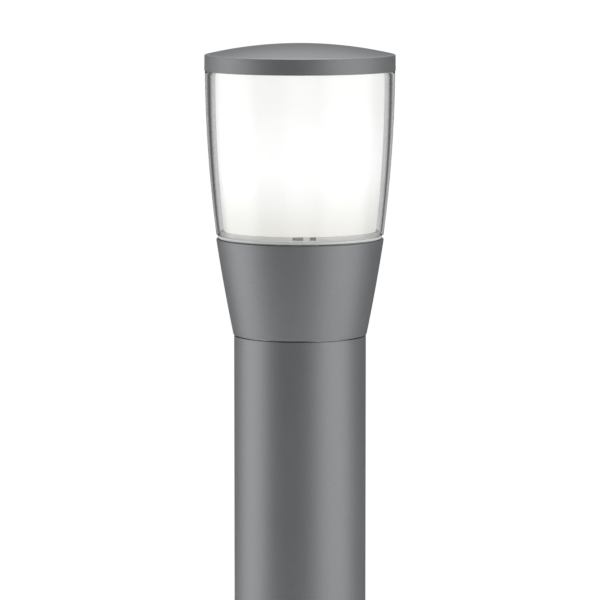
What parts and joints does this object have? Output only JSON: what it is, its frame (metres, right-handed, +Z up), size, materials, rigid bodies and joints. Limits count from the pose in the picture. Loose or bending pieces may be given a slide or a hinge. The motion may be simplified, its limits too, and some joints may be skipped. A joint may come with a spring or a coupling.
{
  "type": "bollard light",
  "caption": "Round garden bollard light: tubular post on a bolt-down base, conical collar and a tulip lantern head of clear acrylic round a glowing opal shade, under a flat domed cap.",
  "frame": {"origin": "centre of the base plate's underside, on the ground", "axes": "+Z up along the post; the pictured side is towards -Y, and the service door is at the back, facing +Y"},
  "size_m": [0.17, 0.17, 1],
  "materials": {
    "coated_aluminium": "fine satin powder coat",
    "clear_acrylic": "polished, see-through",
    "opal_acrylic": "glowing opal white",
    "bare_aluminium": "fine machined",
    "silicone": "matte translucent grey",
    "black_rubber": "matte",
    "white_reflector": "matte white",
    "stainless_steel": "satin",
    "zinc_steel": "zinc plated",
    "ceramic": "glazed white ceramic",
    "brass": "plain",
    "nickel_brass": "nickel plated",
    "black_plastic": "matte",
    "white_plastic": "satin",
    "lamp_diffuser": "frosted, glowing",
    "led_board": "satin white",
    "pale_grey_plastic": "satin",
    "grey_plastic": "fine textured",
    "core_insulation": "coloured insulation",
    "clear_plastic": "clear"
  },
  "bodies": {
    "post": {"collar": "coated_aluminium", "head_set_screws": "stainless_steel", "collar_screws": "stainless_steel", "collar_washers": "stainless_steel", "holder_bracket": "zinc_steel", "bracket_screws": "zinc_steel", "holder_nipple": "brass", "holder_body": "ceramic", "holder_sleeve": "nickel_brass", "holder_contact": "brass", "collar_gland": "black_plastic", "collar_gland_nut": "black_plastic", "post_ring": "bare_aluminium", "post_tube": "coated_aluminium", "door_bridges": "zinc_steel", "door_seal": "black_rubber", "equipment_rail": "zinc_steel", "junction_box": "grey_plastic", "junction_box_lid": "clear_plastic", "lid_screws": "stainless_steel", "box_seal": "black_rubber", "terminal_block": "white_plastic", "terminal_screws": "brass", "fuse_carrier": "black_plastic", "fuse_link": "ceramic", "supply_glands": "black_plastic", "lead_gland": "black_plastic", "lamp_lead": "black_rubber", "lead_cores": "core_insulation", "earth_stud": "brass", "earth_nuts": "zinc_steel", "base_plate": "coated_aluminium", "base_screws": "stainless_steel"},
    "lamp_base": {"lamp_contact": "nickel_brass", "lamp_insulator": "black_plastic"},
    "lamp": {"lamp_screw_cap": "nickel_brass", "lamp_body": "white_plastic", "lamp_led_board": "led_board", "lamp_dome": "lamp_diffuser"},
    "head": {"cap": "coated_aluminium", "cap_bond": "silicone", "reflector_disc": "white_reflector", "reflector_screw": "stainless_steel", "clear_shell": "clear_acrylic", "opal_shell": "opal_acrylic", "neck_ring": "pale_grey_plastic", "neck_bond": "silicone", "head_seal": "silicone"},
    "door": {"service_door": "coated_aluminium", "door_screws": "stainless_steel"}
  },
  "joints": [
    {"name": "lamp_rise", "type": "slide", "parent": "post", "child": "lamp_base", "axis": [0, 0, 1], "range_m": [0, 0.0182]},
    {"name": "lamp_turn", "type": "hinge", "parent": "lamp_base", "child": "lamp", "pos_m": [0, 0, 0.832], "axis": [0, 0, 1], "range_deg": [0, 1800]},
    {"name": "head_lift", "type": "slide", "parent": "post", "child": "head", "axis": [0, 0, 1], "range_m": [0, 0.16]},
    {"name": "door_pull", "type": "slide", "parent": "post", "child": "door", "axis": [0, 1, 0], "range_m": [0, 0.08]}
  ],
  "couplings": [
    {"joint": "lamp_rise", "follows": "lamp_turn", "m_per_rad": 0.00057757}
  ]
}
